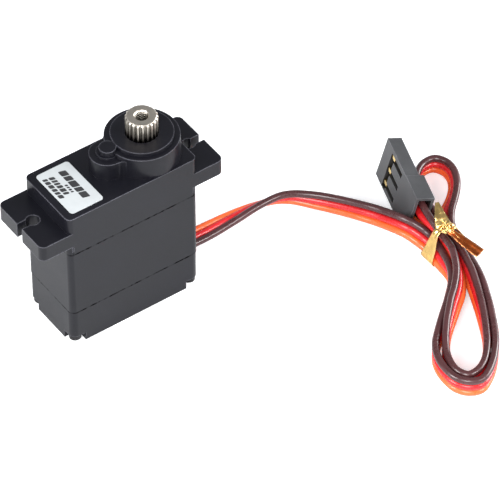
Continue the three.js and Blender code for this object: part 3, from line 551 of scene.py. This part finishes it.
# Loose ends: turn, rise, length, width at the root and at the tip, roll, and root aside of the knot.
GOLD_TAILS = ((66, 14, 5.0, 3.1, 0.5, 12, -0.55), (-66, -16, 3.6, 0.7, 1.2, 30, 0.0))
COPPER_TAIL = (-77, -8, 6.7, 1.4, 1.75, -14, 0.0)
TAIL_CRUMPLE, TAIL_TEETH = 0.12, 0.06   # mm
TAIL_UNROLL = 50              # degrees that a loose end turns as it leaves the knot
TWISTS = 7                    # turns of crumpled foil in the knot
TWIST_REACH, TWIST_RISE, TWIST_WIDTH, TWIST_CRUMPLE = 1.1, 0.55, 1.0, 0.40      # mm
TWIST_START, TWIST_TURN, TWIST_TILT = 25, 51, 25              # degrees: first loop, next loop, and tilt
TWIST_SWAY = 2.1              # radians from one loop's tilt to the next
ROLL_TURN, ROLL_ALONG = 60, 170         # degrees of roll from loop to loop, and along each


def strip(path, width, roll, crumple, seed, count=40, columns=9, teeth=0.0):
    """Rows of a foil strip along a path, crumpled, with a toothed cut at its end.

    width and roll give the strip's width and its turn about the path, at a share of its length.
    """
    fine = smoothed(path, max(2, count // (len(path) - 1)))
    rows = []
    last = len(fine) - 1
    for i, point in enumerate(fine):
        t = i / last
        ahead = (fine[min(i + 1, last)] - fine[max(i - 1, 0)]).normalized()
        flat = ahead.cross(Vector((0, 0, 1)))
        flat = flat.normalized() if flat.length > 1e-6 else Vector((0, 1, 0))
        turn = math.radians(roll(t))
        across = flat * math.cos(turn) + flat.cross(ahead) * math.sin(turn)
        normal = ahead.cross(across)
        row = []
        for j in range(columns):
            s = j / (columns - 1) - 0.5
            place = point + across * width(t) * MM * s
            fold = RIDGE * math.exp(-(s / RIDGE_SHARE) ** 2)
            for along, aside, drift, strength in CRUMPLES:
                spot = Vector((t * along + seed, s * aside, seed * drift))
                fold += noise.noise(spot) * crumple * strength
            tooth = teeth * (j % 2) if i == last else 0.0
            row.append(place + (normal * fold - ahead * tooth) * MM)
        rows.append(row)
    return rows


def evenly(points, count):
    """This many points, evenly spaced along a path."""
    reach = [0.0]
    for a, b in zip(points, points[1:]):
        reach.append(reach[-1] + (b - a).length)
    spaced = []
    k = 0
    for i in range(count):
        target = reach[-1] * i / (count - 1)
        while k < len(points) - 2 and reach[k + 1] < target:
            k += 1
        share = (target - reach[k]) / max(reach[k + 1] - reach[k], 1e-9)
        spaced.append(points[k].lerp(points[k + 1], min(share, 1.0)))
    return spaced


def band(corners):
    """Rows of the strip drawn tight round the strands, wide on the table and gathered at the knot."""
    outline = []
    for k in range(BAND_TURNS + 1):
        turn = math.pi / 2 + 2 * math.pi * k / BAND_TURNS
        way = Vector((math.cos(turn), 0, math.sin(turn)))
        outline.append(max(corners, key=way.dot) + way * BAND_R * MM)
    path = evenly(outline, BAND_STEPS + 1)
    rows = []
    for i, point in enumerate(path):
        ahead = (path[min(i + 1, BAND_STEPS)] - path[max(i - 1, 0)]).normalized()
        out = ahead.cross(Vector((0, 1, 0)))
        rise = point.z / path[0].z
        width = BAND_WIDTH * (1 - BAND_GATHER * rise ** GATHER_POWER)
        row = []
        for j in range(BAND_COLUMNS + 1):
            s = j / BAND_COLUMNS - 0.5
            fold = noise.noise(Vector((i * CREASE_ALONG, s * CREASE_ACROSS, CREASE_DRIFT)))
            crease = fold * BAND_CREASE * (FLAT_CREASE + rise)
            spot = point + Vector((0, s * width * MM, 0)) + out * crease * MM
            spot.z = max(spot.z, FLOOR + BAND_LIFT * MM)
            row.append(spot)
        rows.append(row)
    return rows


def heading(turn, rise):
    """The direction at this many degrees round from the x axis and up from the table."""
    a, b = math.radians(turn), math.radians(rise)
    return Vector((math.cos(a) * math.cos(b), math.sin(a) * math.cos(b), math.sin(b)))


def tail(knot, row):
    """Rows of one loose end of the strip, which unrolls as it leaves the knot."""
    turn, rise, length, root, tip, roll, aside = row
    way = heading(turn, rise)
    start = knot + Vector((aside * MM, 0, 0))
    path = [start + way * (length * MM * k / 3) for k in range(4)]
    return strip(path, lambda t: root + (tip - root) * t, lambda t: roll + TAIL_UNROLL * (1 - t) ** 3,
                 TAIL_CRUMPLE, length, teeth=TAIL_TEETH)


def twists(knot):
    """Short crumpled loops of foil that arch over the knot in all directions."""
    loops = []
    for k in range(TWISTS):
        way = heading(TWIST_START + TWIST_TURN * k, TWIST_TILT * math.sin(TWIST_SWAY * k))
        path = []
        for f in (0.0, 0.33, 0.66, 1.0):
            arch = Vector((0, 0, TWIST_RISE * math.sin(math.pi * f)))
            path.append(knot + (way * TWIST_REACH * (2 * f - 1) + arch) * MM)
        loops.append(strip(path, lambda t: TWIST_WIDTH, lambda t: ROLL_TURN * k + ROLL_ALONG * t,
                           TWIST_CRUMPLE, 4.0 + k, count=18, columns=7))
    return loops


def foil_piece(name, sheets, material):
    verts, faces = merged(foil(rows, FOIL_THICK * MM) for rows in sheets)
    return piece(name, verts, faces, material, "case", "gold_foil")


def twist_tie():
    low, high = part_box("twist_tie")
    middle = high.y - BAND_BACK * MM
    corners = [Vector((low.x + x * MM, middle, low.z + z * MM)) for x, z in STRANDS]
    knot = corners[TOP_STRAND] + KNOT_OFFSET * MM
    sheets = [band(corners)] + twists(knot) + [tail(knot, row) for row in GOLD_TAILS]
    tie = foil_piece("foil_tie", sheets, FINISH["gold_foil"])
    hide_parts("twist_tie")
    foil_piece("foil_tail", [tail(knot, COPPER_TAIL)], COPPER_FOIL)


twist_tie()


# ---- stage, light and camera --------------------------------------------------------------
FLOOR_HALF = 1.5              # metres
FLOOR_GLOW = 0.45             # seen by the camera only, so that it lights nothing
# AIM, which the camera and the lamps face, lies between the servo and its lead, near the floor.
AIM = (Vector(CAD_BOX[0]) + Vector(CAD_BOX[1])) / 2 + Vector((-4.1, 8.89, -6.75)) * MM
VIEW_TURN, VIEW_RISE = -125.48, 45.51   # degrees from the x axis and up from the floor
VIEW_DISTANCE = 651.74        # mm
LENS, SENSOR = 315.65, 36.0   # mm
DIM_SIDE = (0.41, 0.57, 0.71)           # the way in which the room is dim
DIM_START, DIM_END = 0.1, 0.9           # cosines from that way
ROOM_BRIGHT, ROOM_DIM = 0.55, 0.40
SOFTBOXES = {                 # place and size in metres, and power in watts
    "key": ((-0.42, -0.42, 0.50), (0.35, 0.35), 5.0),
    "front": ((0.26, -0.50, 0.38), (0.30, 0.08), 2.4),
    "right": ((0.62, -0.16, 0.22), (0.45, 0.22), 4.0),
    "left": ((-0.60, 0.10, 0.35), (0.25, 0.40), 4.0),
}


def floor():
    """Pale paper that stays white in the picture."""
    mesh = bpy.data.meshes.new("floor")
    corners = [(x * FLOOR_HALF, y * FLOOR_HALF, 0) for x, y in ((-1, -1), (1, -1), (1, 1), (-1, 1))]
    mesh.from_pydata(corners, [], [(0, 1, 2, 3)])
    obj = bpy.data.objects.new("floor", mesh)
    obj.location.z = FLOOR
    tree = Tree("floor_paper")
    seen = tree.add("ShaderNodeLightPath").outputs["Is Camera Ray"]
    for socket, value in (("Base Color", (0.84, 0.85, 0.86, 1)), ("Roughness", 0.9),
                          ("Specular IOR Level", 0.1), ("Emission Color", (1.0, 1.0, 1.0, 1)),
                          ("Emission Strength", tree.math("MULTIPLY", seen, FLOOR_GLOW))):
        tree.put(tree.shader.inputs[socket], value)
    mesh.materials.append(tree.material)
    bpy.context.scene.collection.objects.link(obj)


def aimed(name, data, place):
    """An object that looks from a place to the aim point."""
    obj = bpy.data.objects.new(name, data)
    obj.location = place
    obj.rotation_euler = (AIM - place).to_track_quat("-Z", "Y").to_euler()
    bpy.context.scene.collection.objects.link(obj)
    return obj


def softbox(name, place, size, power):
    data = bpy.data.lights.new(name, "AREA")
    data.shape = "RECTANGLE"
    data.size, data.size_y = size
    data.energy = power
    aimed(name, data, Vector(place))


def camera():
    data = bpy.data.cameras.new("camera")
    data.sensor_width = SENSOR
    data.lens = LENS
    data.clip_start, data.clip_end = 0.05, 10
    place = AIM + heading(VIEW_TURN, VIEW_RISE) * VIEW_DISTANCE * MM
    bpy.context.scene.camera = aimed("camera", data, place)


def studio():
    """A white room that is dim where the flat tops would mirror it, behind and to the right."""
    world = bpy.data.worlds.new("studio")
    world.use_nodes = True
    nodes, links = world.node_tree.nodes, world.node_tree.links
    coord = nodes.new("ShaderNodeTexCoord")
    toward = nodes.new("ShaderNodeVectorMath")
    toward.operation = "DOT_PRODUCT"
    toward.inputs[1].default_value = DIM_SIDE
    fall = nodes.new("ShaderNodeMapRange")
    fall.interpolation_type = "SMOOTHSTEP"
    for name, value in (("From Min", DIM_START), ("From Max", DIM_END),
                        ("To Min", ROOM_BRIGHT), ("To Max", ROOM_DIM)):
        fall.inputs[name].default_value = value
    background = nodes["Background"]
    background.inputs["Color"].default_value = (0.93, 0.95, 1.0, 1)
    links.new(coord.outputs["Generated"], toward.inputs[0])
    links.new(toward.outputs["Value"], fall.inputs["Value"])
    links.new(fall.outputs["Result"], background.inputs["Strength"])
    bpy.context.scene.world = world


floor()
studio()
for name, row in SOFTBOXES.items():
    softbox(name, *row)
bpy.context.scene.view_settings.view_transform = "Standard"
camera()
